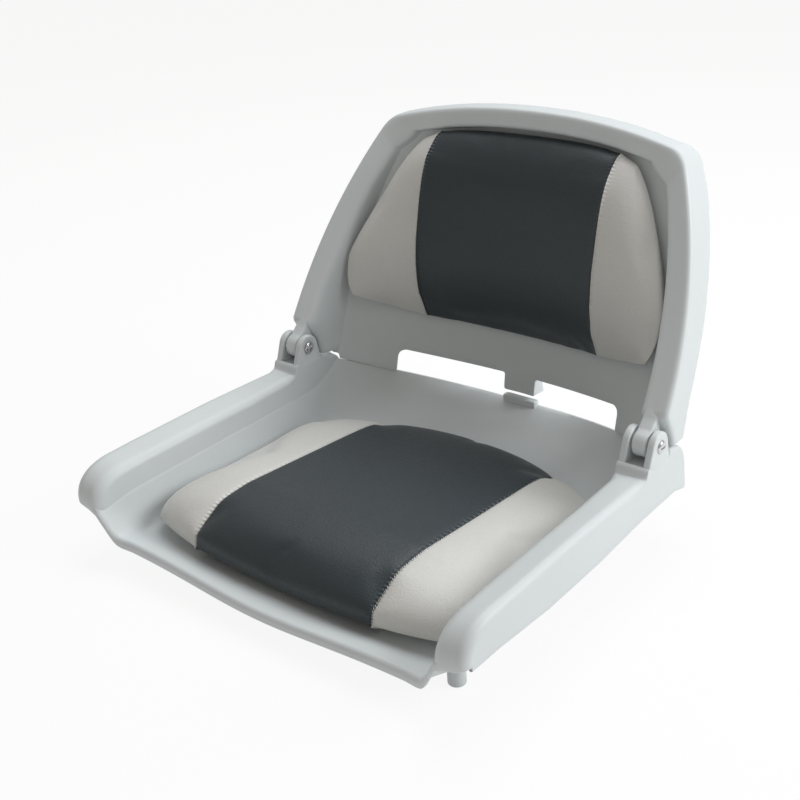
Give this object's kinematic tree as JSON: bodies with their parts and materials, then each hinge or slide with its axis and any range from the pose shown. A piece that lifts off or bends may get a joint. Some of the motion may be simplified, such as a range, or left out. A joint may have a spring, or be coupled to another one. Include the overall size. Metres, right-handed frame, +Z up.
{
  "type": "folding boat seat",
  "caption": "Fold-down boat seat: moulded pan with hollow arms, a winged back that hinges forward onto it, and sewn two-tone cushions on boards.",
  "frame": {"origin": "centre of the four mounting inserts, on the flat underside that is bolted down", "axes": "+Z up, -Y the front of the seat, +X the right side as seen from the front"},
  "size_m": [0.5054, 0.5023, 0.385],
  "materials": {
    "shell": "fine-grained moulded polypropylene, light grey",
    "light_vinyl": "light grey marine vinyl with a fine leather grain",
    "dark_vinyl": "charcoal marine vinyl with a fine leather grain",
    "foam": "cut polyurethane foam",
    "board": "exterior plywood",
    "steel": "stainless steel, satin",
    "nylon": "natural nylon",
    "brass": "turned brass"
  },
  "bodies": {
    "seat": {"seat_shell": "shell", "seat_cover_left": "light_vinyl", "seat_cover_centre": "dark_vinyl", "seat_cover_right": "light_vinyl", "seat_foam": "foam", "seat_board": "board", "seat_screw_front_left": "steel", "seat_screw_front_right": "steel", "seat_screw_rear_left": "steel", "seat_screw_rear_right": "steel", "mount_insert_front_left": "brass", "mount_insert_front_right": "brass", "mount_insert_rear_left": "brass", "mount_insert_rear_right": "brass", "hinge_barrel_left": "steel", "hinge_barrel_right": "steel", "hinge_screw_left": "steel", "hinge_screw_right": "steel", "hinge_washer_inner_left": "nylon", "hinge_washer_outer_left": "nylon", "hinge_washer_inner_right": "nylon", "hinge_washer_outer_right": "nylon"},
    "back": {"back_shell": "shell", "back_cover_left": "light_vinyl", "back_cover_centre": "dark_vinyl", "back_cover_right": "light_vinyl", "back_foam": "foam", "back_board": "board", "back_screw_lower_left": "steel", "back_screw_lower_right": "steel", "back_screw_upper_left": "steel", "back_screw_upper_right": "steel"}
  },
  "joints": [
    {"name": "back_fold", "type": "hinge", "parent": "seat", "child": "back", "pos_m": [0, 0.125, 0.12], "axis": [1, 0, 0], "range_deg": [0, 128]}
  ]
}
